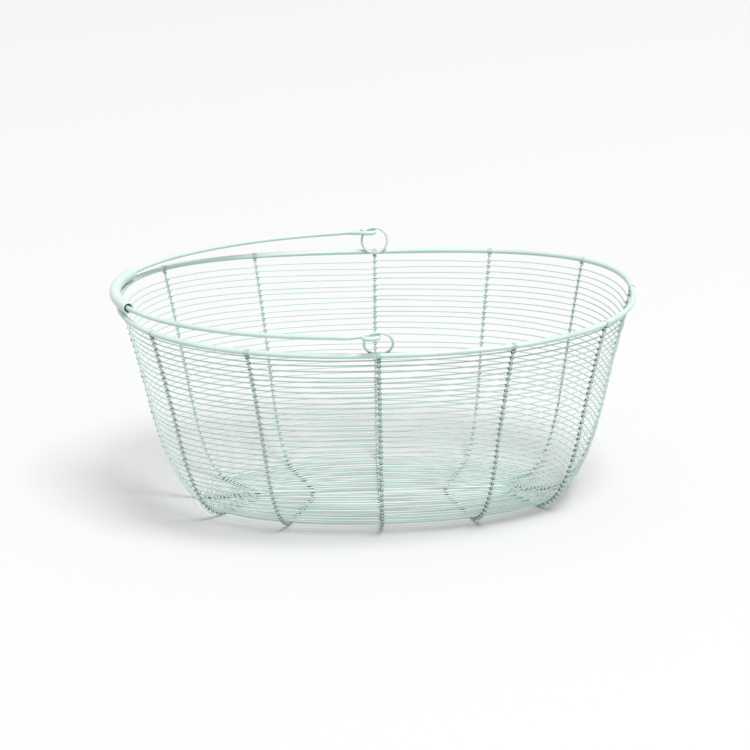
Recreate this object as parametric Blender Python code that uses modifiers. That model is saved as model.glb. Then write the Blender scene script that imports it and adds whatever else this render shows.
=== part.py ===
"""Egg collection basket: an oval wire basket with one swing handle.

Metres, +Z up. The origin is on the ground under the middle of the basket, +X runs along the
long axis and +Y towards the back. The handle is folded down on the -X side, resting on the rim.
"""
import math

import bpy
from mathutils import Matrix, Vector

# ---- sizes ---------------------------------------------------------------------------------
MM = 0.001
GAP = 0.3 * MM                      # clearance between pieces that touch

RIM_HALF_LENGTH = 200 * MM          # rim wire centreline, along X
RIM_HALF_WIDTH = 146 * MM           # along Y
RIM_HEIGHT = 166 * MM               # at the middle of the front
RIM_POWER = 2.3                     # exponent of the rounded oval
BACK, FRONT = 1, -1                 # the sign of y on each side
RIM_DIP = {BACK: 5.9 * MM, FRONT: 0.0}          # how far the rim is bent down at the middle
RIM_END_RISE_LEFT = 4 * MM                      # and up at each end
RIM_END_RISE_RIGHT = 2.3 * MM
RIM_R = 2.1 * MM

RIB_R = 1.3 * MM                    # drawn without the fine wire's turns round it
RIB_SIDES_LEVEL = 1                 # bevel resolution: six-sided, with one flat facet downwards
RIB_FLAT = RIB_R * math.cos(math.radians(30))   # centreline to that facet
RIB_AT_RIM = (0.0, 98 * MM, 170.5 * MM)         # |x| of each rib's even place on the rim
RIB_AT_SPINE = (0.0, 50 * MM, 92.5 * MM)        # |x| its straight run on the base points to
RIB_X = {"middle": 0.0, "right_1": RIB_AT_RIM[1], "right_2": RIB_AT_RIM[2],
         "left_1": -RIB_AT_RIM[1], "left_2": -RIB_AT_RIM[2]}
LEAN_FOOT = 0.68                    # share at which the middle rib starts to lean to its lug ring
TIP_SHARE = 0.08                    # part of a cross rib's run in its rounded tip at the spine
SPINE_HALF = 100 * MM               # half the straight line the base closes down to

# Section of a rib: (share of the way from the spine to the rim, height), as two quadratic
# curves and a flat base. Each curve is start, control, end. The corner is fuller at the middle
# of the basket than at its ends.
WALL_FOOT = 0.785
WALL_STEPS, CORNER_STEPS = 40, 60
WALL = ((1.0, RIM_HEIGHT), (0.865, 115 * MM), (WALL_FOOT, 75 * MM))
MIDDLE_CORNER = ((WALL_FOOT, 75 * MM), (0.665, RIB_FLAT), (0.44, RIB_FLAT))
END_CORNER = ((WALL_FOOT, 75 * MM), (0.625, RIB_FLAT), (0.34, RIB_FLAT))

WEFT_R = 0.65 * MM
WEFT_TURNS = 48
WEFT_TURNS_PER_LENGTH = 6
WEFT_FIRST = 7.5 * MM               # first turn below the rim, along the section
WEFT_LAST = 4.5 * MM                # last turn from the spine
WEFT_INSET = RIB_R + WEFT_R + GAP   # weft centreline inside the ribs' centrelines
WEFT_CUT = 1.5 * MM                 # space between one length's end and the next one's start

LONG_RIB_RAISE = 2 * RIB_R + GAP    # the long rib lies on top of the ribs that cross it
RAISE_ENDS_AT = 0.3                 # share at which it is back down beside them

RING_R = 10.6 * MM                  # lug ring, centreline radius
RING_WIRE_R = 1.1 * MM
RING_X = {BACK: 2.2 * MM, FRONT: -1.6 * MM}     # lowest point of the ring's wire
RING_INSET = {BACK: 3.6 * MM, FRONT: 4.0 * MM}  # and how far it is inside the rim centreline
RING_FOOT = -0.2 * MM               # and above it
RING_LEAN = {BACK: math.radians(6), FRONT: math.radians(25)}    # outwards

BIND_IN_R = RIM_R + 0.3 * MM
BIND_OUT_R = BIND_IN_R + 0.7 * MM
BIND_LENGTH = 6 * MM
BIND_STEPS = 12
RING_BIND_TRIM = 0.5 * MM           # the ring's side of its binding is this much nearer the rim
RING_BIND_DROP = 1.0 * MM           # and reaches this much further down the middle rib

BAIL_R = 1.9 * MM
BAIL_HALF_LENGTH = 203 * MM         # hinge line to the middle of the bow
ARM_START = 34 * MM                 # the bow's curve stops this far from the hinge line
GRIP_OUT_R = 4.5 * MM
GRIP_WALL = 1.1 * MM
GRIP_HALF_WIDTH = 49 * MM           # the grip's ends, from its middle along Y
GRIP_SHIFT = -5 * MM                # its middle from the bow's middle: it has slid to the front

HINGE_BELOW = RING_WIRE_R + BAIL_R + GAP        # the hinge line passes this far under a ring's top
EYE_PLACE = 0.66                    # where the eye sits on the ring's slant there: 0 top, 1 hinge
# Each end eye is an oval loop of the wire. Its half width clears the slanting ring on both sides.
EYE_HALF_WIDTH = {BACK: 3.9 * MM, FRONT: 4.9 * MM}
EYE_POWER = 2.6                     # exponent of the oval
EYE_ENTRY = math.radians(-48)       # where the arm runs into the loop, from its outer end
EYE_END = math.radians(-336)        # where the wire stops, just clear of the arm
# The arm's bend before the eye: (distance beyond the loop, share of the loop's half width)
EYE_BEND = ((13 * MM, 0.0), (8 * MM, 0.14), (4.4 * MM, 0.34), (1.6 * MM, 0.54))

MINT = (0.46, 0.58, 0.53, 1.0)
MINT_GRIP = (0.48, 0.60, 0.55, 1.0)


# ---- scene ---------------------------------------------------------------------------------
def clear_scene():
    for ob in list(bpy.data.objects):
        bpy.data.objects.remove(ob, do_unlink=True)


def material(name, colour, roughness):
    mat = bpy.data.materials.new(name)
    mat.use_nodes = True
    bsdf = mat.node_tree.nodes["Principled BSDF"]
    bsdf.inputs["Base Color"].default_value = colour
    bsdf.inputs["Roughness"].default_value = roughness
    bsdf.inputs["Metallic"].default_value = 0.0
    mat.diffuse_color = colour
    return mat


clear_scene()
PARTS = bpy.data.collections.new("egg_basket")
bpy.context.scene.collection.children.link(PARTS)


def add(name, data, mat):
    ob = bpy.data.objects.new(name, data)
    PARTS.objects.link(ob)
    if not data.materials:
        data.materials.append(mat)
    return ob


def wire(name, points, radius, level, mat, closed=False):
    """A round wire along points, with 4 + 2 * level sides."""
    curve = bpy.data.curves.new(name, "CURVE")
    curve.dimensions = "3D"
    curve.twist_mode = "Z_UP"
    curve.bevel_depth = radius
    curve.bevel_resolution = level
    curve.use_fill_caps = not closed
    spline = curve.splines.new("POLY")
    spline.points.add(len(points) - 1)
    for target, point in zip(spline.points, points):
        target.co = (*point, 1.0)
    spline.use_cyclic_u = closed
    return add(name, curve, mat)


# ---- shape of the basket -------------------------------------------------------------------
def bezier(ends, steps):
    """Points on a quadratic curve, without its last one."""
    (ax, az), (bx, bz), (cx, cz) = ends
    out = []
    for i in range(steps):
        t = i / steps
        out.append(((1 - t) ** 2 * ax + 2 * t * (1 - t) * bx + t * t * cx,
                    (1 - t) ** 2 * az + 2 * t * (1 - t) * bz + t * t * cz))
    return out


def full_section(corner):
    return bezier(WALL, WALL_STEPS) + bezier(corner, CORNER_STEPS) + [corner[2], (0.0, RIB_FLAT)]


SECTION, END_SECTION = full_section(MIDDLE_CORNER), full_section(END_CORNER)
RUN = [0.0]                         # length along the section in the middle rib's plane
for (share_a, z_a), (share_b, z_b) in zip(SECTION, SECTION[1:]):
    RUN.append(RUN[-1] + math.hypot((share_a - share_b) * RIM_HALF_WIDTH, z_a - z_b))
RUN_FOOT, RUN_BASE = RUN[WALL_STEPS], RUN[-2]   # where the corner and the flat base begin


def section(run, fullness=1.0):
    """(share, height) at a length along the section, measured from the rim.

    fullness goes from 1 at the middle of the basket to 0 at its ends.
    """
    run = min(max(run, 0.0), RUN[-1])
    i = next(k for k in range(1, len(RUN)) if RUN[k] >= run or k == len(RUN) - 1)
    f = (run - RUN[i - 1]) / (RUN[i] - RUN[i - 1])
    (ra, za), (rb, zb) = SECTION[i - 1], SECTION[i]
    end_share = END_SECTION[i - 1][0] + (END_SECTION[i][0] - END_SECTION[i - 1][0]) * f
    return (ra + (rb - ra) * f) * fullness + end_share * (1 - fullness), za + (zb - za) * f


def rim_lift(x, y):
    """Height of the bent rim above or below RIM_HEIGHT."""
    end = (x / RIM_HALF_LENGTH) ** 2
    end_rise = RIM_END_RISE_LEFT if x < 0 else RIM_END_RISE_RIGHT
    return end_rise * end - RIM_DIP[BACK if y > 0 else FRONT] * (1 - end)


def wall_lift(x, y, share):
    """The same for the wall below that rim position, fading to nothing at the wall's foot."""
    f = max(0.0, (share - WALL_FOOT) / (1 - WALL_FOOT))
    return rim_lift(x, y) * f * f * (3 - 2 * f)


def raised(share):
    """Height added near the spine, where the long rib climbs over the cross ribs."""
    return LONG_RIB_RAISE * 0.5 * (1 + math.cos(math.pi * min(share / RAISE_ENDS_AT, 1.0)))


def rim_y(x):
    return RIM_HALF_WIDTH * (1 - abs(x / RIM_HALF_LENGTH) ** RIM_POWER) ** (1 / RIM_POWER)


def rim_angle(x):
    """Parameter of the rim point at x in the first quadrant."""
    half = RIM_POWER / 2
    return math.atan2((rim_y(x) / RIM_HALF_WIDTH) ** half, (x / RIM_HALF_LENGTH) ** half)


def angle_at(x, side):
    """Parameter of the rim point at x on one side."""
    angle = rim_angle(abs(x))
    return side * (angle if x > 0 else math.pi - angle)


def rim_point(angle):
    c, s = math.cos(angle), math.sin(angle)
    x = RIM_HALF_LENGTH * math.copysign(abs(c) ** (2 / RIM_POWER), c)
    y = RIM_HALF_WIDTH * math.copysign(abs(s) ** (2 / RIM_POWER), s)
    return x, y


def spine_x(x):
    """Where the line down from rim position x meets the spine."""
    knots = [*zip(RIB_AT_RIM, RIB_AT_SPINE), (RIM_HALF_LENGTH, SPINE_HALF)]
    for (xa, sa), (xb, sb) in zip(knots, knots[1:]):
        if abs(x) <= xb + 1e-9:
            return math.copysign(sa + (sb - sa) * (abs(x) - xa) / (xb - xa), x)
    return math.copysign(SPINE_HALF, x)


def point_below(x, y, sx, run, inset=0.0, climb=True):
    """A point run metres down the wall and base, from rim position x, y to sx on the spine."""
    reach = math.hypot(x - sx, y)
    step = 0.5 * MM
    fullness = (y / RIM_HALF_WIDTH) ** 2
    share, z = section(run, fullness)
    (ra, za), (rb, zb) = section(run - step, fullness), section(run + step, fullness)
    along, down = (ra - rb) * reach, za - zb
    size = math.hypot(along, down)
    z += wall_lift(x, y, share)
    share -= inset * down / size / reach
    z += inset * along / size + (raised(share) if climb else 0.0)
    return sx + (x - sx) * share, y * share, z


def wall_point(angle, run, inset=0.0):
    """A point of the mesh below a rim position, inset towards the inside."""
    x, y = rim_point(angle)
    return point_below(x, y, spine_x(x), run, inset)


def rib_point(rib, side, run):
    """A point of one half of a cross rib. The middle rib leans to the lug ring it is tied to."""
    even_x = RIB_X[rib]
    share = section(run, (rim_y(even_x) / RIM_HALF_WIDTH) ** 2)[0]
    lean = RING_X[side] if rib == "middle" else 0.0
    x = even_x + lean * max(0.0, (share - LEAN_FOOT) / (1 - LEAN_FOOT))
    return point_below(x, side * rim_y(x), spine_x(even_x), run, climb=False)


STATIONS = [0.0, rim_angle(RIB_AT_RIM[2]), rim_angle(RIB_AT_RIM[1]), math.pi / 2]


def round_angles(pieces):
    """Rim parameters once round from -X, with each rib's place among them."""
    quadrant = []
    for a, b, n in zip(STATIONS, STATIONS[1:], pieces):
        quadrant += [a + (b - a) * i / n for i in range(n)]
    quadrant.append(STATIONS[-1])
    half = quadrant + [math.pi - a for a in reversed(quadrant[:-1])]
    return [math.pi + a for a in half[:-1]] + [2 * math.pi + a for a in half[:-1]]


# ---- rim, ribs and weft --------------------------------------------------------------------
def build_rim(mat):
    points = []
    for angle in round_angles((5, 4, 4)):
        x, y = rim_point(angle)
        points.append((x, y, RIM_HEIGHT + rim_lift(x, y)))
    wire("rim_wire", points, RIM_R, 2, mat, closed=True)


def rib_runs(top):
    """Lengths along the section at which a rib has a point, from its top down to the base."""
    wall = [top + (RUN_FOOT - top) * i / 6 for i in range(6)]
    return wall + [RUN_FOOT + (RUN_BASE - RUN_FOOT) * i / 11 for i in range(12)]


def build_cross_rib(rib, top, mat):
    """A rib from the front rim, under the base and up to the back rim."""
    back, front = ([rib_point(rib, side, run) for run in rib_runs(top)] for side in (BACK, FRONT))
    inner, outer = (Vector(rib_point(rib, side, RUN[-1] * (1 - TIP_SHARE))) for side in (BACK, FRONT))
    apex_x = rib_point(rib, BACK, RUN[-1])[0]
    turn = []                       # rounded tip where the wire bends at the spine
    for i in range(5):
        t = i / 4
        edge = 1 - 2 * t * (1 - t)
        point = inner.lerp(outer, t)
        point.x = point.x * edge + apex_x * (1 - edge)
        turn.append(point)
    wire("rib_" + rib, back + turn + front[::-1], RIB_R, RIB_SIDES_LEVEL, mat)


def build_long_rib(top, mat):
    climb = [RUN_BASE + (RUN[-1] - RUN_BASE) * i / 6 for i in range(1, 7)]
    right, left = ([wall_point(angle, run) for run in rib_runs(top) + climb]
                   for angle in (0.0, math.pi))
    wire("rib_long", right + left[::-1], RIB_R, RIB_SIDES_LEVEL, mat)


def build_weft(name, first_turn, turns, mat):
    """One length of the fine wire, wound round the inside of the ribs in a falling spiral."""
    angles = round_angles((2, 2, 2))
    pitch = (RUN[-1] - WEFT_LAST - WEFT_FIRST) / WEFT_TURNS
    points = []
    for i in range(turns * len(angles) + 1):
        run = WEFT_FIRST + pitch * (first_turn + i / len(angles))
        points.append(wall_point(angles[i % len(angles)], run, WEFT_INSET))
    keep = 1 - WEFT_CUT / math.dist(points[-2], points[-1])
    points[-1] = tuple(a + (b - a) * keep for a, b in zip(points[-2], points[-1]))
    wire(name, points, WEFT_R, 0, mat)


# ---- bindings and lug rings ----------------------------------------------------------------
def binding_mesh():
    """Square-edged ring section for the Screw modifier, at +X."""
    half = BIND_LENGTH / 2
    verts = [(BIND_IN_R, 0, half), (BIND_OUT_R, 0, half),
             (BIND_OUT_R, 0, -half), (BIND_IN_R, 0, -half)]
    mesh = bpy.data.meshes.new("binding")
    mesh.from_pydata(verts, [(0, 1), (1, 2), (2, 3), (3, 0)], [])
    return mesh


def build_binding(name, mesh, angle, mat):
    """Turns of wire round the rim over the top of a rib."""
    ob = add(name, mesh, mat)
    x, y = rim_point(angle)
    (xa, ya), (xb, yb) = rim_point(angle - 0.01), rim_point(angle + 0.01)
    slope = math.atan2(rim_lift(xb, yb) - rim_lift(xa, ya), math.hypot(xb - xa, yb - ya))
    ob.location = (x, y, RIM_HEIGHT + rim_lift(x, y))
    ob.rotation_euler = (0, math.pi / 2 - slope, math.atan2(yb - ya, xb - xa))
    screw = ob.modifiers.new("turn", "SCREW")
    screw.angle = 2 * math.pi
    screw.steps = screw.render_steps = BIND_STEPS
    screw.use_merge_vertices = True
    screw.merge_threshold = 0.00001
    screw.use_smooth_shade = False


def build_ring_binding(name, side, mat):
    """Turns of wire round both the rim and the bottom of a lug ring."""
    ob = add(name, ring_binding_curve(side), mat)
    ob.location = (RING_X[side], side * RIM_HALF_WIDTH, RIM_HEIGHT - RIM_DIP[side])
    ob.rotation_euler = (math.pi / 2, 0, side * math.pi / 2)


def ring_binding_curve(side):
    """Outline of a rounded slot round rim wire and ring wire, as a flat shape to extrude."""
    in_x, in_y = RING_BIND_TRIM - RING_INSET[side], RING_FOOT
    turn = math.atan2(in_y, in_x)
    curve = bpy.data.curves.new("ring_binding", "CURVE")
    curve.dimensions = "2D"
    curve.fill_mode = "BOTH"
    curve.extrude = BIND_LENGTH / 2
    for radius in (BIND_OUT_R, BIND_IN_R):
        spline = curve.splines.new("POLY")
        corners = []
        for cx, cy, start in ((0.0, 0.0, turn - 1.5 * math.pi), (in_x, in_y, turn - 0.5 * math.pi)):
            for i in range(7):
                a = start + math.pi * i / 6
                corners.append((cx + radius * math.cos(a), cy + radius * math.sin(a)))
        spline.points.add(len(corners) - 1)
        for target, (px, py) in zip(spline.points, corners):
            target.co = (px, py, 0.0, 1.0)
        spline.use_cyclic_u = True
    return curve


def ring_point(side, angle):
    """A point of a lug ring, from its lowest point round towards +X and up."""
    climb = RING_R * (1 - math.cos(angle))
    y = RIM_HALF_WIDTH - RING_INSET[side] + climb * math.sin(RING_LEAN[side])
    z = RIM_HEIGHT - RIM_DIP[side] + RING_FOOT + climb * math.cos(RING_LEAN[side])
    return RING_X[side] + RING_R * math.sin(angle), side * y, z


def build_lug_ring(name, side, mat):
    count = 24
    points = [ring_point(side, 2 * math.pi * i / count) for i in range(count)]
    wire(name, points, RING_WIRE_R, 1, mat, closed=True)


# ---- handle --------------------------------------------------------------------------------
def hinge_point(side):
    """Where the hinge line passes a lug ring: a little under its top, on its slant."""
    x, y, z = ring_point(side, math.pi)
    return Vector((x, y - side * EYE_PLACE * HINGE_BELOW * math.tan(RING_LEAN[side]),
                   z - HINGE_BELOW))


# The handle is built in its own plane, with the hinge line as local Y and the bow towards -X.
HINGE_BACK, HINGE_FRONT = hinge_point(BACK), hinge_point(FRONT)
HINGE = (HINGE_BACK + HINGE_FRONT) / 2
BOW_HALF_WIDTH = (HINGE_BACK - HINGE_FRONT).length / 2
ALONG = (HINGE_BACK - HINGE_FRONT).normalized()
ACROSS = ALONG.cross(Vector((0, 0, 1))).normalized()
# At rest the grip's middle lies on the binding at the left end of the rim, a little beyond it.
REST_RISE = math.sqrt((BIND_OUT_R + GRIP_OUT_R + GAP) ** 2
                      - (BAIL_HALF_LENGTH - HINGE.x - RIM_HALF_LENGTH) ** 2)
BAIL_DROP = math.asin((HINGE.z - RIM_HEIGHT - RIM_END_RISE_LEFT - REST_RISE) / BAIL_HALF_LENGTH)
AT_REST = (Matrix.Translation(HINGE)
           @ Matrix((ACROSS, ALONG, ACROSS.cross(ALONG))).transposed().to_4x4()
           @ Matrix.Rotation(-BAIL_DROP, 4, "Y"))


def eye_path(side):
    """Points of one end of the bail, from the arm to the cut end."""
    level = RING_R - HINGE_BELOW / math.cos(RING_LEAN[side])    # above the ring's middle
    length = math.sqrt(RING_R ** 2 - level ** 2) + HINGE_BELOW
    half_width = EYE_HALF_WIDTH[side]
    path = [(length + beyond, -half_width * share) for beyond, share in EYE_BEND]
    for i in range(13):
        a = EYE_ENTRY + (EYE_END - EYE_ENTRY) * i / 12
        c, s = (math.copysign(abs(v) ** (2 / EYE_POWER), v) for v in (math.cos(a), math.sin(a)))
        path.append((length / 2 * (1 + c), half_width * s))
    return [(-t, side * (BOW_HALF_WIDTH + w), 0.0) for t, w in path]


def bow_point(angle):
    """The bail's plan: half an ellipse from one ring to the other."""
    return -BAIL_HALF_LENGTH * math.cos(angle), BOW_HALF_WIDTH * math.sin(angle), 0.0


def build_bail(mat):
    arm_start = math.acos(ARM_START / BAIL_HALF_LENGTH)
    bow = [bow_point(arm_start * (1 - 2 * i / 30)) for i in range(31)]
    bail = wire("bail_wire", eye_path(BACK)[::-1] + bow + eye_path(FRONT), BAIL_R, 2, mat)
    bail.matrix_world = AT_REST


def build_grip(mat):
    ends = [math.asin((GRIP_SHIFT + side * GRIP_HALF_WIDTH) / BOW_HALF_WIDTH) for side in (BACK, FRONT)]
    points = [bow_point(ends[0] + (ends[1] - ends[0]) * i / 12) for i in range(13)]
    grip = wire("grip_tube", points, GRIP_OUT_R, 4, mat)
    grip.data.use_fill_caps = False
    shell = grip.modifiers.new("wall", "SOLIDIFY")
    shell.thickness = GRIP_WALL
    shell.offset = -1.0
    shell.use_rim = True
    grip.matrix_world = AT_REST


# ---- build ---------------------------------------------------------------------------------
frame_mat = material("frame_mint", MINT, 0.45)
fine_mat = material("fine_mint", MINT, 0.45)
grip_mat = material("grip_mint", MINT_GRIP, 0.4)

build_rim(frame_mat)

rib_top = BIND_OUT_R + GAP
build_cross_rib("middle", rib_top + RING_BIND_DROP, frame_mat)
for rib in ("right_1", "right_2", "left_1", "left_2"):
    build_cross_rib(rib, rib_top, frame_mat)
build_long_rib(rib_top, frame_mat)

for length in range(WEFT_TURNS // WEFT_TURNS_PER_LENGTH):
    build_weft(f"weft_{length + 1}", length * WEFT_TURNS_PER_LENGTH, WEFT_TURNS_PER_LENGTH, fine_mat)

sleeve = binding_mesh()
places = [("right_end", 0.0), ("left_end", math.pi)]
for end in ("right", "left"):
    for number in ("1", "2"):
        rib = end + "_" + number
        for place, side in (("back", BACK), ("front", FRONT)):
            places.append((f"{end}_{place}_{number}", angle_at(RIB_X[rib], side)))
for place, angle in places:
    build_binding("binding_" + place, sleeve, angle, fine_mat)

for place, side in (("back", BACK), ("front", FRONT)):
    build_ring_binding("binding_ring_" + place, side, fine_mat)
    build_lug_ring("lug_ring_" + place, side, frame_mat)

build_bail(frame_mat)
build_grip(grip_mat)
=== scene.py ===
"""Looks of the egg collection basket: powder-coated wire, wound and bound, on a pale floor.

Metres throughout, in the CAD's frame. Each CAD node is replaced by a piece that follows the same
lines, with the fine wire's real turns round the ribs and the rim.
"""
import math
import random

import bmesh
import bpy
from mathutils import Matrix, Vector


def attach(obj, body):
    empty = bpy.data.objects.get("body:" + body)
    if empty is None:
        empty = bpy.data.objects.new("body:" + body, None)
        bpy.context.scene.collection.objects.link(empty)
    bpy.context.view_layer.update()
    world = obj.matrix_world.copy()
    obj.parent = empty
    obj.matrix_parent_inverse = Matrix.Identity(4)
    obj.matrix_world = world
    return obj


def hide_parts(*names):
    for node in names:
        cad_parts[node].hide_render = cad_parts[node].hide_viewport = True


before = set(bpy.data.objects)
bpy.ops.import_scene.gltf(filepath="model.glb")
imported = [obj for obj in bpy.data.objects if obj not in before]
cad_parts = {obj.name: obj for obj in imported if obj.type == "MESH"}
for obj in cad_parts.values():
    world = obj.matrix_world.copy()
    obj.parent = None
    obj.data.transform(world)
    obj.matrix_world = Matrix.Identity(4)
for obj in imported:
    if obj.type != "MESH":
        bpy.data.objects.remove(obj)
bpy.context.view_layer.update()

# ---- sizes, the same as the CAD's ----------------------------------------------------------
MM = 0.001
RIM_HALF_LENGTH = 200 * MM
RIM_HALF_WIDTH = 146 * MM
RIM_HEIGHT = 166 * MM
RIM_POWER = 2.3
RIM_R = 2.1 * MM
BACK, FRONT = 1, -1
RIM_DIP = {BACK: 5.9 * MM, FRONT: 0.0}
RIM_END_RISE_LEFT = 4 * MM
RIM_END_RISE_RIGHT = 2.3 * MM
RIB_AT_RIM = (0.0, 98 * MM, 170.5 * MM)
RIB_AT_SPINE = (0.0, 50 * MM, 92.5 * MM)
LEAN_FOOT = 0.68                    # share at which the middle rib starts to lean to its lug ring
SPINE_HALF = 100 * MM
WALL_FOOT = 0.785
TIP_SHARE = 0.08                    # part of a cross rib's run in its rounded tip at the spine
WEFT_TURNS = 48
WEFT_TURNS_PER_LENGTH = 6
WEFT_FIRST = 4.8 * MM               # the CAD starts lower, to clear its thicker bindings
WEFT_LAST = 4.5 * MM
RAISE_ENDS_AT = 0.3
RING_R = 10.6 * MM
RING_WIRE_R = 1.1 * MM
RING_X = {BACK: 2.2 * MM, FRONT: -1.6 * MM}
RING_INSET = {BACK: 3.6 * MM, FRONT: 4.0 * MM}
RING_FOOT = -0.2 * MM
RING_LEAN = {BACK: math.radians(6), FRONT: math.radians(25)}
BAIL_R = 1.9 * MM
BAIL_HALF_LENGTH = 203 * MM
BIND_OUT_R = RIM_R + 1.0 * MM
GAP = 0.3 * MM
GRIP_OUT_R = 4.5 * MM
GRIP_WALL = 1.1 * MM
GRIP_SHOWN_R = 4.4 * MM
GRIP_HALF_WIDTH = 49 * MM
GRIP_SHIFT = -5 * MM
ARM_START = 34 * MM
HINGE_BELOW = RING_WIRE_R + BAIL_R + GAP
EYE_PLACE = 0.66
EYE_HALF_WIDTH = {BACK: 3.9 * MM, FRONT: 4.9 * MM}
EYE_POWER = 2.6
EYE_ENTRY = math.radians(-48)
EYE_END = math.radians(-336)
EYE_BEND = ((13 * MM, 0.0), (8 * MM, 0.14), (4.4 * MM, 0.34), (1.6 * MM, 0.54))

# ---- sizes of the real wire, which the CAD simplifies --------------------------------------
RIB_WIRE_R = 0.9 * MM
FINE_R = 0.52 * MM
WRAP_R = RIB_WIRE_R + FINE_R        # centreline of a turn round a rib
WRAP_STEPS = 12
WRAP_LEAD = 1.3 * MM                # how far one turn round a rib moves down it
SPAN_STEPS = 8
SPAN_BULGE = 0.92                   # 0 is straight from rib to rib, 1 follows the oval
BASE_Z = RIB_WIRE_R + 2 * FINE_R    # rib centreline on the base, with the turns on the floor
LONG_RIB_RAISE = 2 * RIB_WIRE_R + 0.05 * MM
RING_SHOWN_R = 0.95 * MM            # as thick as the CAD's six-sided wire measures flat to flat
BAIL_SHOWN_R = 1.84 * MM
BIND_R = 0.26 * MM                  # the wire bound round the rim
BIND_PITCH = 2 * BIND_R + 0.03 * MM
COIL_PITCH = 2 * FINE_R + 0.04 * MM
RIM_COIL_TURNS = 6
RIB_COIL_TURNS = 1
RIB_COIL_START = RIM_R + FINE_R + 0.5 * MM      # down the rib from the rim's centreline
RIB_TOP = 1.2 * MM                  # where a rib's wire ends, inside the rim wire
RIB_STEPS = 110
WEFT_CLOSEST = 3.4 * MM             # least space between one turn and the next, down a rib
WEFT_DRIFT = 0.48 * MM              # spread of a crossing's place from one turn to the next
WEFT_SAG = 0.12 * MM                # spread of the height of a span's middle
WALL_STEPS, CORNER_STEPS = 40, 60
RIM_COIL_STEPS, RING_COIL_STEPS = 16, 24        # points to a turn
RING_STEPS = 72
GRIP_STEPS, LIP_STEPS, GRIP_SIDES = 60, 6, 32

rng = random.Random(79)


# ---- shape of the basket -------------------------------------------------------------------
def bezier(ends, steps):
    (ax, az), (bx, bz), (cx, cz) = ends
    out = []
    for i in range(steps):
        t = i / steps
        out.append(((1 - t) ** 2 * ax + 2 * t * (1 - t) * bx + t * t * cx,
                    (1 - t) ** 2 * az + 2 * t * (1 - t) * bz + t * t * cz))
    return out


WALL = ((1.0, RIM_HEIGHT), (0.865, 115 * MM), (WALL_FOOT, 75 * MM))
MIDDLE_CORNER = ((WALL_FOOT, 75 * MM), (0.665, BASE_Z), (0.44, BASE_Z))
END_CORNER = ((WALL_FOOT, 75 * MM), (0.625, BASE_Z), (0.34, BASE_Z))


def full_section(corner):
    return bezier(WALL, WALL_STEPS) + bezier(corner, CORNER_STEPS) + [corner[2], (0.0, BASE_Z)]


SECTION, END_SECTION = full_section(MIDDLE_CORNER), full_section(END_CORNER)
RUN = [0.0]                         # length along the section in the middle rib's plane
for (share_a, z_a), (share_b, z_b) in zip(SECTION, SECTION[1:]):
    RUN.append(RUN[-1] + math.hypot((share_a - share_b) * RIM_HALF_WIDTH, z_a - z_b))
TIP_RUN = RUN[-1] * (1 - TIP_SHARE)


def section(run, fullness=1.0):
    """(share of the way from spine to rim, height) at a length down the section.

    fullness goes from 1 at the middle of the basket to 0 at its ends.
    """
    run = min(max(run, 0.0), RUN[-1])
    low, high = 0, len(RUN) - 1
    while high - low > 1:
        middle = (low + high) // 2
        if RUN[middle] < run:
            low = middle
        else:
            high = middle
    f = (run - RUN[low]) / (RUN[high] - RUN[low])
    (ra, za), (rb, zb) = SECTION[low], SECTION[high]
    end_share = END_SECTION[low][0] + (END_SECTION[high][0] - END_SECTION[low][0]) * f
    return (ra + (rb - ra) * f) * fullness + end_share * (1 - fullness), za + (zb - za) * f


def rim_lift(x, y):
    end = (x / RIM_HALF_LENGTH) ** 2
    end_rise = RIM_END_RISE_LEFT if x < 0 else RIM_END_RISE_RIGHT
    return end_rise * end - RIM_DIP[BACK if y > 0 else FRONT] * (1 - end)


def wall_lift(x, y, share):
    f = max(0.0, (share - WALL_FOOT) / (1 - WALL_FOOT))
    return rim_lift(x, y) * f * f * (3 - 2 * f)


def rim_y(x):
    return RIM_HALF_WIDTH * (1 - abs(x / RIM_HALF_LENGTH) ** RIM_POWER) ** (1 / RIM_POWER)


def rim_angle(x):
    half = RIM_POWER / 2
    return math.atan2((rim_y(x) / RIM_HALF_WIDTH) ** half, (x / RIM_HALF_LENGTH) ** half)


def angle_at(x, side):
    angle = rim_angle(abs(x))
    return side * (angle if x > 0 else math.pi - angle)


def rim_xy(angle):
    c, s = math.cos(angle), math.sin(angle)
    return (RIM_HALF_LENGTH * math.copysign(abs(c) ** (2 / RIM_POWER), c),
            RIM_HALF_WIDTH * math.copysign(abs(s) ** (2 / RIM_POWER), s))


def rim_point(angle):
    x, y = rim_xy(angle)
    return Vector((x, y, RIM_HEIGHT + rim_lift(x, y)))


def spine_x(x):
    knots = [*zip(RIB_AT_RIM, RIB_AT_SPINE), (RIM_HALF_LENGTH, SPINE_HALF)]
    for (xa, sa), (xb, sb) in zip(knots, knots[1:]):
        if abs(x) <= xb + 1e-9:
            return math.copysign(sa + (sb - sa) * (abs(x) - xa) / (xb - xa), x)
    return math.copysign(SPINE_HALF, x)


def wall_point(angle, run, inset=0.0, spine=None):
    """A point of the wall or base below a rim position, inset towards the inside."""
    x, y = rim_xy(angle)
    sx = spine_x(x) if spine is None else spine
    reach = math.hypot(x - sx, y)
    step = 0.5 * MM
    fullness = (y / RIM_HALF_WIDTH) ** 2
    share, z = section(run, fullness)
    (ra, za), (rb, zb) = section(run - step, fullness), section(run + step, fullness)
    along, down = (ra - rb) * reach, za - zb
    size = math.hypot(along, down)
    z += wall_lift(x, y, share) + inset * along / size
    share -= inset * down / size / reach
    return Vector((sx + (x - sx) * share, y * share, z))


ANGLE_OUTER, ANGLE_INNER = rim_angle(RIB_AT_RIM[2]), rim_angle(RIB_AT_RIM[1])
ANGLE_MIDDLE = math.pi / 2
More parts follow.
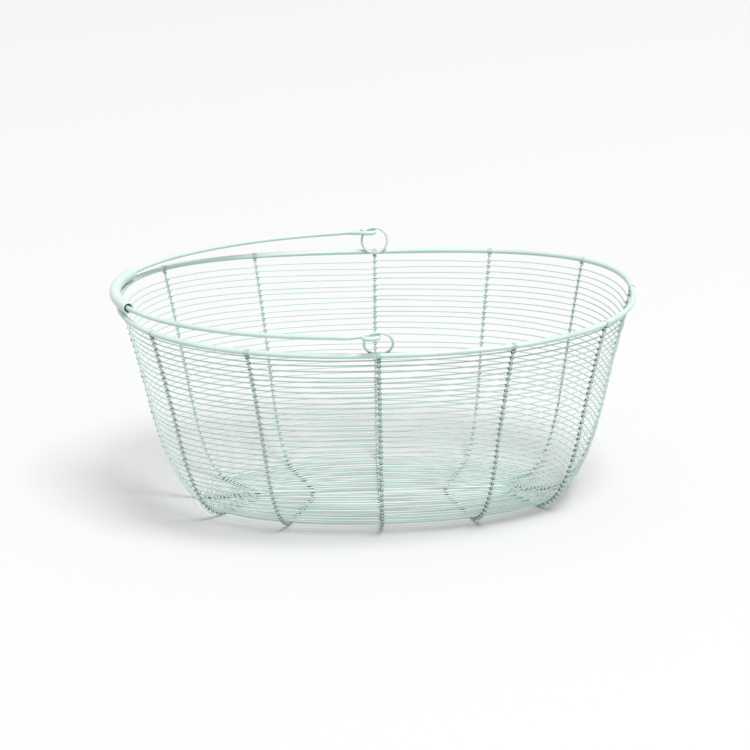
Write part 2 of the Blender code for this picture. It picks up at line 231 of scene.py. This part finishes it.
# The twelve rib tops once round, from the left end by the front to the right end and back.
CROSSINGS = [math.pi, math.pi + ANGLE_OUTER, math.pi + ANGLE_INNER, 1.5 * math.pi,
             2 * math.pi - ANGLE_INNER, 2 * math.pi - ANGLE_OUTER, 2 * math.pi,
             2 * math.pi + ANGLE_OUTER, 2 * math.pi + ANGLE_INNER, 2.5 * math.pi,
             3 * math.pi - ANGLE_INNER, 3 * math.pi - ANGLE_OUTER]


def on_long_rib(angle):
    return abs(math.sin(angle)) < 1e-6


def rib_angle(angle, run):
    """Rim angle above a rib's point: the middle rib leans to the lug ring it is tied to."""
    x, y = rim_xy(angle)
    if abs(x) > 0.1 * MM:
        return angle
    side = BACK if y > 0 else FRONT
    share = section(run, (y / RIM_HALF_WIDTH) ** 2)[0]
    lean = RING_X[side] * max(0.0, (share - LEAN_FOOT) / (1 - LEAN_FOOT))
    return angle + angle_at(lean, side) - angle_at(0.0, side)


def rib_line(angle, run, inset=0.0):
    return wall_point(rib_angle(angle, run), run, inset, spine_x(rim_xy(angle)[0]))


def rib_centre(angle, run):
    """Centreline of the rib that stands at angle on the rim, run metres down it."""
    point = rib_line(angle, run)
    fullness = (rim_xy(angle)[1] / RIM_HALF_WIDTH) ** 2
    share = section(run, fullness)[0]
    if on_long_rib(angle):
        point.y = 0.0
        point.z += LONG_RIB_RAISE * 0.5 * (1 + math.cos(math.pi * min(share / RAISE_ENDS_AT, 1.0)))
    elif run > TIP_RUN:
        tip_share = section(TIP_RUN, fullness)[0]
        tip_x, apex_x = rib_line(angle, TIP_RUN).x, rib_line(angle, RUN[-1]).x
        t = (1 - share / tip_share) / 2
        edge = 1 - 2 * t * (1 - t)
        point.x = tip_x * edge + apex_x * (1 - edge)
    return point


def rib_frame(angle, run, forward):
    """(centre, down the rib, inwards, along the fine wire) of a rib at run."""
    step = 0.6 * MM
    centre = rib_centre(angle, run)
    down = (rib_centre(angle, run + step) - rib_centre(angle, run - step)).normalized()
    inwards = rib_line(angle, run, MM) - rib_line(angle, run)
    along = inwards.cross(down).normalized()
    if along.dot(forward) < 0:
        along.negate()
    inwards -= down * inwards.dot(down)
    return centre, down, inwards.normalized(), along


# ---- materials -----------------------------------------------------------------------------
MINT = (0.46, 0.58, 0.53)
MINT_GRIP = (0.48, 0.60, 0.55)
FLOOR_GREY = (0.56, 0.56, 0.565, 1.0)
WORLD_STRENGTH = 0.79
# Painted shade where wires meet: how far the occlusion looks, and the open share from full shade to
# none.
PAINTED_SHADE_REACH = 1.4 * MM
PAINTED_SHADE_FROM, PAINTED_SHADE_TO = 0.46, 0.78           # share of open surroundings: full painted shade below, plain colour above


def powder_coat(name, colour, roughness, worn, gap_shade=0.03):
    """Satin powder coat: clouded colour, fine pigment speckle, orange peel, rubbed patches and
    painted shade in the gaps between wires.
    """
    mat = bpy.data.materials.new(name)
    mat.use_nodes = True
    nodes, links = mat.node_tree.nodes, mat.node_tree.links
    bsdf = nodes["Principled BSDF"]
    bsdf.inputs["IOR"].default_value = 1.5
    bsdf.inputs["Coat Weight"].default_value = 0.25
    bsdf.inputs["Coat Roughness"].default_value = 0.25
    place = nodes.new("ShaderNodeTexCoord")

    def noise(scale, detail, low, high):
        """Noise at scale per metre, spread from 0 at low to 1 at high."""
        tex = nodes.new("ShaderNodeTexNoise")
        tex.inputs["Scale"].default_value = scale
        tex.inputs["Detail"].default_value = detail
        links.new(place.outputs["Object"], tex.inputs["Vector"])
        spread = nodes.new("ShaderNodeMapRange")
        spread.inputs["From Min"].default_value = low
        spread.inputs["From Max"].default_value = high
        links.new(tex.outputs["Fac"], spread.inputs["Value"])
        return spread.outputs["Result"]

    def mix(factor, first, second):
        node = nodes.new("ShaderNodeMix")
        node.data_type = "RGBA"
        links.new(factor, node.inputs["Factor"])
        for socket, value in ((node.inputs["A"], first), (node.inputs["B"], second)):
            if isinstance(value, tuple):
                socket.default_value = (*value, 1.0)
            else:
                links.new(value, socket)
        return node.outputs["Result"]

    def tint(factor, warm=1.0):
        return tuple(min(1.0, c * factor * w) for c, w in zip(colour, (warm, 1.0, 2 - warm)))

    clouds = mix(noise(22.0, 3.0, 0.35, 0.65), tint(0.95, 0.98), tint(1.04, 1.01))
    speckle = mix(noise(420.0, 2.0, 0.62, 0.78), clouds, tint(0.90))
    rubbed = mix(noise(75.0, 4.0, 0.66 - 0.08 * worn, 0.80), speckle, tint(0.84, 1.03))
    # Painted shade: the colour is darkened in the gaps where two wires meet, where shade falls.
    painted_shade_ao = nodes.new("ShaderNodeAmbientOcclusion")
    painted_shade_ao.samples = 12
    painted_shade_ao.inputs["Distance"].default_value = PAINTED_SHADE_REACH
    unshaded_share = nodes.new("ShaderNodeMapRange")
    unshaded_share.interpolation_type = "SMOOTHSTEP"
    unshaded_share.inputs["From Min"].default_value = PAINTED_SHADE_FROM
    unshaded_share.inputs["From Max"].default_value = PAINTED_SHADE_TO
    links.new(painted_shade_ao.outputs["AO"], unshaded_share.inputs["Value"])
    links.new(mix(unshaded_share.outputs["Result"], tint(gap_shade), rubbed), bsdf.inputs["Base Color"])

    gloss = nodes.new("ShaderNodeMapRange")
    gloss.inputs["To Min"].default_value = roughness - 0.07
    gloss.inputs["To Max"].default_value = roughness + 0.09
    links.new(noise(60.0, 3.0, 0.3, 0.7), gloss.inputs["Value"])
    links.new(gloss.outputs["Result"], bsdf.inputs["Roughness"])

    peel = nodes.new("ShaderNodeBump")
    peel.inputs["Strength"].default_value = 0.25
    peel.inputs["Distance"].default_value = 0.06 * MM
    links.new(noise(900.0, 2.0, 0.3, 0.7), peel.inputs["Height"])
    links.new(peel.outputs["Normal"], bsdf.inputs["Normal"])
    return mat


FRAME_MAT = powder_coat("frame_powder_coat", MINT, 0.42, 0.3)
FINE_MAT = powder_coat("fine_powder_coat", MINT, 0.46, 0.0)
BOUND_MAT = powder_coat("bound_powder_coat", MINT, 0.46, 0.0, gap_shade=0.75)
GRIP_MAT = powder_coat("grip_powder_coat", MINT_GRIP, 0.38, 1.0)


# ---- pieces --------------------------------------------------------------------------------
def place_piece(name, data, mat, body, nodes):
    data.materials.append(mat)
    ob = bpy.data.objects.new(name, data)
    bpy.context.scene.collection.objects.link(ob)
    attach(ob, body)
    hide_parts(*nodes)
    return ob


def wires(name, splines, level, mat, body, nodes):
    """Round wires as one curve object. Each spline is (points, radius, closed)."""
    curve = bpy.data.curves.new(name, "CURVE")
    curve.dimensions = "3D"
    curve.twist_mode = "MINIMUM"
    curve.bevel_depth = 1.0
    curve.bevel_resolution = level
    curve.use_fill_caps = True
    for points, radius, closed in splines:
        spline = curve.splines.new("POLY")
        spline.points.add(len(points) - 1)
        for target, point in zip(spline.points, points):
            target.co = (*point, 1.0)
            target.radius = radius
        spline.use_cyclic_u = closed
        spline.use_smooth = True
    return place_piece(name, curve, mat, body, nodes)


def build_rim():
    points = [rim_point(2 * math.pi * i / 240) for i in range(240)]
    wires("wire_rim", [(points, RIM_R, True)], 4, FRAME_MAT, "basket", ["rim_wire"])


def half_rib(angle):
    """Centreline of half a rib, from the rim to the spine."""
    runs = [RIB_TOP + (RUN[-1] - RIB_TOP) * i / RIB_STEPS for i in range(RIB_STEPS + 1)]
    return [rib_centre(angle, run) for run in runs]


def build_ribs():
    for name, angle in (("middle", ANGLE_MIDDLE), ("right_1", ANGLE_INNER), ("right_2", ANGLE_OUTER),
                        ("left_1", math.pi - ANGLE_INNER), ("left_2", math.pi - ANGLE_OUTER)):
        points = half_rib(angle) + half_rib(-angle)[-2::-1]     # both halves share the spine point
        wires("wire_rib_" + name, [(points, RIB_WIRE_R, False)], 3, FRAME_MAT, "basket",
              ["rib_" + name])
    points = half_rib(0.0) + half_rib(math.pi)[::-1]
    wires("wire_rib_long", [(points, RIB_WIRE_R, False)], 3, FRAME_MAT, "basket",
          ["rib_long"])


def crossing_runs():
    """How far down its rib each crossing of the fine wire is, in order along the wire."""
    count = WEFT_TURNS * len(CROSSINGS) + 1
    pitch = (RUN[-1] - WEFT_LAST - WEFT_FIRST) / WEFT_TURNS
    drift = [0.0] * len(CROSSINGS)
    runs = []
    for i in range(count):
        rib = i % len(CROSSINGS)
        even = WEFT_FIRST + pitch * i / len(CROSSINGS)
        drift[rib] = 0.5 * drift[rib] + rng.gauss(0.0, WEFT_DRIFT)
        run = even + drift[rib]
        if i >= len(CROSSINGS):
            run = max(run, runs[i - len(CROSSINGS)] + WEFT_CLOSEST)
        runs.append(min(run, RUN[-1] - WEFT_LAST + 1.5 * MM))
    return runs


def wrap(angle, run, forward):
    """One turn of the fine wire round a rib: in from the inside, round the outside, and on."""
    centre, down, inwards, along = rib_frame(angle, run, forward)
    out = []
    for i in range(WRAP_STEPS + 1):
        phi = 2 * math.pi * i / WRAP_STEPS
        out.append(centre + WRAP_R * (inwards * math.cos(phi) + along * math.sin(phi))
                   + down * WRAP_LEAD * (i / WRAP_STEPS - 0.5))
    return out


def build_weft():
    runs = crossing_runs()
    ribs = len(CROSSINGS)
    per_length = WEFT_TURNS_PER_LENGTH * ribs
    centres = [rib_centre(CROSSINGS[i % ribs], run) for i, run in enumerate(runs)]
    for length in range(WEFT_TURNS // WEFT_TURNS_PER_LENGTH):
        points = []
        for i in range(length * per_length, (length + 1) * per_length + 1):
            forward = centres[min(i + 1, len(runs) - 1)] - centres[max(i - 1, 0)]
            run = runs[i]
            if i == (length + 1) * per_length:          # beside the next length's first turn
                run -= 2.2 * FINE_R
            turn = wrap(CROSSINGS[i % ribs], run, forward)
            if points:
                points += span(points[-1], turn[0], i, runs)
            points += turn
        name = f"weft_{length + 1}"
        wires("fine_wire_" + str(length + 1), [(points, FINE_R, False)], 2, FINE_MAT, "basket",
              [name])


def span(start, end, i, runs):
    """Points of the fine wire from the rib before crossing i to its rib, bowed outwards."""
    ribs = len(CROSSINGS)
    angle_b = CROSSINGS[i % ribs]
    angle_a = CROSSINGS[(i - 1) % ribs]
    if angle_a > angle_b:
        angle_b += 2 * math.pi
    run_a, run_b = runs[i - 1], runs[i]
    angle_a, angle_b = rib_angle(angle_a, run_a), rib_angle(angle_b, run_b)
    first, last = wall_point(angle_a, run_a, WRAP_R), wall_point(angle_b, run_b, WRAP_R)
    bulge = SPAN_BULGE + rng.uniform(-0.05, 0.05)
    sag = rng.gauss(0.0, WEFT_SAG)
    out = []
    for k in range(1, SPAN_STEPS):
        t = k / SPAN_STEPS
        arc = wall_point(angle_a + (angle_b - angle_a) * t, run_a + (run_b - run_a) * t, WRAP_R)
        out.append(start.lerp(end, t) + (arc - first.lerp(last, t)) * bulge
                   + Vector((0, 0, 4 * t * (1 - t) * sag)))
    return out


def coil_round_rim(angle):
    """Close turns of fine wire round the rim."""
    step = 1e-3
    centre = rim_point(angle)
    along = (rim_point(angle + step) - rim_point(angle - step)).normalized()
    inwards = Vector((-centre.x, -centre.y, 0.0))
    inwards = (inwards - along * inwards.dot(along)).normalized()
    up = along.cross(inwards)
    if up.z < 0:
        up.negate()
    radius = RIM_R + BIND_R
    scale = (rim_point(angle + step) - rim_point(angle - step)).length / (2 * step)
    out = []
    for i in range(RIM_COIL_TURNS * RIM_COIL_STEPS + 1):
        offset = BIND_PITCH * (i / RIM_COIL_STEPS - RIM_COIL_TURNS / 2)
        base = rim_point(angle + offset / scale)
        phi = 2 * math.pi * i / RIM_COIL_STEPS + math.pi
        out.append(base + radius * (up * math.sin(phi) + inwards * math.cos(phi)))
    return out


def coil_round_rib(angle):
    """Close turns of fine wire round the top of the rib at angle."""
    forward = rim_point(angle + 0.01) - rim_point(angle - 0.01)
    out = []
    for i in range(RIB_COIL_TURNS * WRAP_STEPS + 1):
        run = RIB_COIL_START + COIL_PITCH * i / WRAP_STEPS
        centre, down, inwards, along = rib_frame(angle, run, forward)
        phi = 2 * math.pi * i / WRAP_STEPS
        out.append(centre + WRAP_R * (inwards * math.cos(phi) + along * math.sin(phi)))
    return out


def build_bindings():
    places = [("right_end", 0.0), ("left_end", math.pi)]
    for rib, a in (("1", ANGLE_INNER), ("2", ANGLE_OUTER)):
        places += [("right_back_" + rib, a), ("left_back_" + rib, math.pi - a),
                   ("left_front_" + rib, math.pi + a), ("right_front_" + rib, -a)]
    for place, angle in places:
        pieces = [(coil_round_rim(angle), BIND_R, False), (coil_round_rib(angle), FINE_R, False)]
        wires("coil_" + place, pieces, 2, BOUND_MAT, "basket", ["binding_" + place])


def ring_point(side, angle):
    """A point of a lug ring, from its lowest point round towards +X and up."""
    climb = RING_R * (1 - math.cos(angle))
    y = RIM_HALF_WIDTH - RING_INSET[side] + climb * math.sin(RING_LEAN[side])
    z = RIM_HEIGHT - RIM_DIP[side] + RING_FOOT + climb * math.cos(RING_LEAN[side])
    return Vector((RING_X[side] + RING_R * math.sin(angle), side * y, z))


def coil_round_ring(side):
    """Close turns of fine wire round the rim and the foot of a lug ring together."""
    coil = []
    for i in range(RIM_COIL_TURNS * RING_COIL_STEPS + 1):
        along = BIND_PITCH * (i / RING_COIL_STEPS - RIM_COIL_TURNS / 2)
        x = RING_X[side] + along
        rim_at = Vector((x, side * rim_y(x), RIM_HEIGHT + rim_lift(x, side * rim_y(x))))
        ring_at = ring_point(side, math.asin(along / RING_R))
        phi = 2 * math.pi * i / RING_COIL_STEPS
        out = Vector((0.0, side * math.cos(phi), math.sin(phi)))
        reach = [(rim_at, RIM_R + BIND_R), (ring_at, RING_SHOWN_R + BIND_R)]
        at, radius = max(reach, key=lambda pair: pair[0].dot(out) + pair[1])
        point = at + out * radius
        point.x = x
        coil.append(point)
    return coil


def build_rings():
    for place, side in (("back", BACK), ("front", FRONT)):
        ring = [ring_point(side, 2 * math.pi * i / RING_STEPS) for i in range(RING_STEPS)]
        wires("ring_" + place, [(ring, RING_SHOWN_R, True)], 3, FRAME_MAT, "basket",
              ["lug_ring_" + place])
        pieces = [(coil_round_ring(side), BIND_R, False),
                  (coil_round_rib(side * math.pi / 2), FINE_R, False)]
        wires("coil_ring_" + place, pieces, 2, BOUND_MAT, "basket",
              ["binding_ring_" + place])


# ---- handle --------------------------------------------------------------------------------
def hinge_point(side):
    x, y, z = ring_point(side, math.pi)
    return Vector((x, y - side * EYE_PLACE * HINGE_BELOW * math.tan(RING_LEAN[side]),
                   z - HINGE_BELOW))


HINGE_BACK, HINGE_FRONT = hinge_point(BACK), hinge_point(FRONT)
HINGE = (HINGE_BACK + HINGE_FRONT) / 2
BOW_HALF_WIDTH = (HINGE_BACK - HINGE_FRONT).length / 2
ALONG = (HINGE_BACK - HINGE_FRONT).normalized()
ACROSS = ALONG.cross(Vector((0, 0, 1))).normalized()
REST_RISE = math.sqrt((BIND_OUT_R + GRIP_OUT_R + GAP) ** 2
                      - (BAIL_HALF_LENGTH - HINGE.x - RIM_HALF_LENGTH) ** 2)
BAIL_DROP = math.asin((HINGE.z - RIM_HEIGHT - RIM_END_RISE_LEFT - REST_RISE) / BAIL_HALF_LENGTH)
TO_REST = (Matrix.Translation(HINGE)
           @ Matrix((ACROSS, ALONG, ACROSS.cross(ALONG))).transposed().to_4x4()
           @ Matrix.Rotation(-BAIL_DROP, 4, "Y"))


def bow_point(angle):
    return Vector((-BAIL_HALF_LENGTH * math.cos(angle), BOW_HALF_WIDTH * math.sin(angle), 0.0))


def eye_path(side):
    """Points of one end of the bail, from the arm to the cut end, in the bail's own plane."""
    level = RING_R - HINGE_BELOW / math.cos(RING_LEAN[side])    # hinge line above the ring's middle
    length = math.sqrt(RING_R ** 2 - level ** 2) + HINGE_BELOW
    half_width = EYE_HALF_WIDTH[side]
    path = [(length + beyond, -half_width * share) for beyond, share in EYE_BEND]
    for i in range(13):
        a = EYE_ENTRY + (EYE_END - EYE_ENTRY) * i / 12
        c, s = (math.copysign(abs(v) ** (2 / EYE_POWER), v) for v in (math.cos(a), math.sin(a)))
        path.append((length / 2 * (1 + c), half_width * s))
    return [Vector((-t, side * (BOW_HALF_WIDTH + w), 0.0)) for t, w in path]


def smooth_path(points, steps):
    """Catmull-Rom curve through points."""
    out = []
    padded = [2 * points[0] - points[1], *points, 2 * points[-1] - points[-2]]
    for a, b, c, d in zip(padded, padded[1:], padded[2:], padded[3:]):
        for i in range(steps):
            t = i / steps
            out.append(0.5 * (2 * b + (c - a) * t + (2 * a - 5 * b + 4 * c - d) * t * t
                              + (3 * b - a - 3 * c + d) * t ** 3))
    return out + [points[-1]]


def build_bail():
    arm_start = math.acos(ARM_START / BAIL_HALF_LENGTH)
    bow = [bow_point(arm_start * (1 - 2 * i / 90)) for i in range(91)]
    path = smooth_path([*eye_path(BACK)[::-1], *bow, *eye_path(FRONT)], 3)
    points = [TO_REST @ point for point in path]
    wires("wire_bail", [(points, BAIL_SHOWN_R, False)], 4, FRAME_MAT, "handle",
          ["bail_wire"])


def build_grip():
    """A hollow tube with rounded lips, swept along the middle of the bow."""
    back, front = (math.asin((GRIP_SHIFT + side * GRIP_HALF_WIDTH) / BOW_HALF_WIDTH)
                   for side in (BACK, FRONT))
    lip = GRIP_WALL / 2
    lip_angle = lip / BAIL_HALF_LENGTH
    middle_r = GRIP_SHOWN_R - lip
    lip_turn = [math.pi * k / LIP_STEPS for k in range(1, LIP_STEPS)]
    shares = [i / GRIP_STEPS for i in range(GRIP_STEPS + 1)]
    rows = [(back + (front - back) * t, GRIP_SHOWN_R) for t in shares]
    rows += [(front - lip_angle * math.sin(a), middle_r + lip * math.cos(a)) for a in lip_turn]
    rows += [(front + (back - front) * t, GRIP_SHOWN_R - GRIP_WALL) for t in shares]
    rows += [(back + lip_angle * math.sin(a), middle_r - lip * math.cos(a)) for a in lip_turn]
    mesh = bmesh.new()
    circles = []
    for angle, radius in rows:
        centre = bow_point(angle)
        along = (bow_point(angle + 0.001) - bow_point(angle - 0.001)).normalized()
        across = along.cross(Vector((0, 0, 1)))
        circle = []
        for k in range(GRIP_SIDES):
            a = 2 * math.pi * k / GRIP_SIDES
            offset = across * math.cos(a) + Vector((0, 0, 1)) * math.sin(a)
            circle.append(mesh.verts.new(TO_REST @ (centre + radius * offset)))
        circles.append(circle)
    for ring_a, ring_b in zip(circles, circles[1:] + circles[:1]):
        for k in range(GRIP_SIDES):
            n = (k + 1) % GRIP_SIDES
            face = mesh.faces.new((ring_a[k], ring_a[n], ring_b[n], ring_b[k]))
            face.smooth = True
    bmesh.ops.recalc_face_normals(mesh, faces=mesh.faces)
    data = bpy.data.meshes.new("grip")
    mesh.to_mesh(data)
    mesh.free()
    place_piece("grip", data, GRIP_MAT, "handle", ["grip_tube"])


build_rim()
build_ribs()
build_weft()
build_bindings()
build_rings()
build_bail()
build_grip()


# ---- floor, light and camera ---------------------------------------------------------------
def build_floor():
    half = 30.0
    mesh = bpy.data.meshes.new("floor")
    mesh.from_pydata([(-half, -half, 0), (half, -half, 0), (half, half, 0), (-half, half, 0)],
                     [], [(0, 1, 2, 3)])
    floor = bpy.data.objects.new("floor", mesh)
    mat = bpy.data.materials.new("pale_floor")
    mat.use_nodes = True
    bsdf = mat.node_tree.nodes["Principled BSDF"]
    bsdf.inputs["Base Color"].default_value = FLOOR_GREY
    bsdf.inputs["Roughness"].default_value = 0.9
    bsdf.inputs["Specular IOR Level"].default_value = 0.1
    mesh.materials.append(mat)
    bpy.context.scene.collection.objects.link(floor)


def build_world():
    world = bpy.data.worlds.new("studio")
    world.use_nodes = True
    background = world.node_tree.nodes["Background"]
    background.inputs["Color"].default_value = (1.0, 1.0, 1.0, 1.0)
    background.inputs["Strength"].default_value = WORLD_STRENGTH
    bpy.context.scene.world = world


def area_light(name, place, target, size, power):
    light = bpy.data.lights.new(name, "AREA")
    light.shape = "DISK"
    light.size = size
    light.energy = power
    ob = bpy.data.objects.new(name, light)
    ob.location = place
    ob.rotation_euler = (Vector(target) - Vector(place)).to_track_quat("-Z", "Y").to_euler()
    bpy.context.scene.collection.objects.link(ob)


CAMERA_DOWN = math.radians(19.0)    # below level
CAMERA_DISTANCE = 1.97
CAMERA_TURN = math.radians(1.0)     # the basket's turn in the photograph
CAMERA_ROLL = math.radians(1.1)
CAMERA_TARGET = (-0.002, 0.0, 0.101)
CAMERA_LENS = 119.7


def build_camera():
    forward = Vector((0, math.cos(CAMERA_DOWN), -math.sin(CAMERA_DOWN)))
    up = Vector((0, math.sin(CAMERA_DOWN), math.cos(CAMERA_DOWN)))
    right = Vector((1, 0, 0))
    place = Vector(CAMERA_TARGET) - forward * CAMERA_DISTANCE
    rolled_right = right * math.cos(CAMERA_ROLL) - up * math.sin(CAMERA_ROLL)
    rolled_up = right * math.sin(CAMERA_ROLL) + up * math.cos(CAMERA_ROLL)
    axes = Matrix((rolled_right, rolled_up, -forward)).transposed().to_4x4()
    data = bpy.data.cameras.new("camera")
    data.sensor_width = 36.0
    data.lens = CAMERA_LENS
    data.clip_end = 200.0
    camera = bpy.data.objects.new("camera", data)
    camera.matrix_world = Matrix.Rotation(-CAMERA_TURN, 4, "Z") @ Matrix.Translation(place) @ axes
    bpy.context.scene.collection.objects.link(camera)
    bpy.context.scene.camera = camera


build_floor()
build_world()
area_light("softbox", (5.0, -7.5, 19.0), (0.0, 0.0, 0.0), 9.0, 4950.0)
build_camera()
bpy.context.scene.view_settings.view_transform = "Standard"
